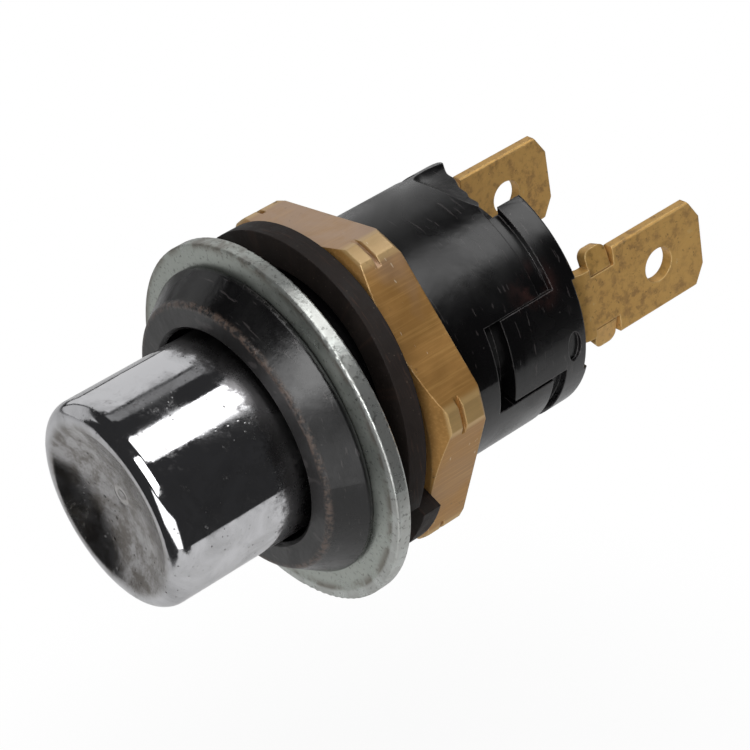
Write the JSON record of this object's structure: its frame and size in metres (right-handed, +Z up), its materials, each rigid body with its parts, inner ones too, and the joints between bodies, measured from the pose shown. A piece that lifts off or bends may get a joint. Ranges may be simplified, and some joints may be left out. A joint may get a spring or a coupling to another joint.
{
  "type": "panel pushbutton switch",
  "caption": "Round panel pushbutton switch with a chromed button, a black conical bezel, a brass clamp nut and two push-on tab terminals at the rear.",
  "frame": {"origin": "on the plunger axis, in the plane of the bezel's rear face, where the mounting washer and the panel seat", "axes": "+Y along the plunger axis from the button towards the terminals, +Z up along the tabs' width, +X across the tabs' faces"},
  "size_m": [0.0246, 0.0434, 0.0246],
  "materials": {
    "moulding": "black phenolic moulding, satin, scratched",
    "button_chrome": "bright chromium plating, hazy and pitted",
    "core_moulding": "plain moulding",
    "steel": "turned steel",
    "spring_steel": "drawn wire",
    "zinc_plate": "zinc-plated steel, dulled and stained",
    "fibre": "dark vulcanised fibre, matte",
    "nut_brass": "turned brass, tarnished",
    "tab_brass": "rolled brass, mottled with tarnish",
    "contact_silver": "silver contact",
    "insulator": "phenolic sheet"
  },
  "bodies": {
    "housing": {"housing": "moulding", "rear_cap": "moulding", "terminal_right": "tab_brass", "terminal_left": "tab_brass", "contact_rivet_right": "contact_silver", "contact_rivet_left": "contact_silver", "mounting_washer": "zinc_plate", "spring_seat": "steel", "return_spring": "spring_steel"},
    "button": {"button_cap": "button_chrome", "button_core": "core_moulding", "plunger_stem": "steel", "stop_washer": "steel", "stop_clip": "spring_steel", "contact_spring": "spring_steel", "retaining_clip": "spring_steel"},
    "contact": {"contact_bridge": "tab_brass", "contact_bush": "insulator", "insulating_washer": "insulator"},
    "split_washer": {"fibre_washer": "fibre"},
    "nut": {"clamp_nut": "nut_brass"}
  },
  "joints": [
    {"name": "button_press", "type": "slide", "parent": "housing", "child": "button", "axis": [0, 1, 0], "range_m": [0, 0.0025], "stiffness_N_per_m": 400, "springref_m": -0.003, "deforming": ["return_spring"]},
    {"name": "contact_give", "type": "slide", "parent": "button", "child": "contact", "axis": [0, 1, 0], "range_m": [-0.0008, 0], "stiffness_N_per_m": 500, "springref_m": 0.0004, "deforming": ["contact_spring"]},
    {"name": "washer_slide", "type": "slide", "parent": "housing", "child": "split_washer", "axis": [0, 1, 0], "range_m": [-0.0004, 0.003]},
    {"name": "nut_turn", "type": "hinge", "parent": "split_washer", "child": "nut", "pos_m": [0, 0.00665, 0], "axis": [0, 1, 0], "range_deg": [-144, 1080]}
  ],
  "couplings": [
    {"joint": "washer_slide", "follows": "nut_turn", "m_per_rad": 0.00015915}
  ]
}
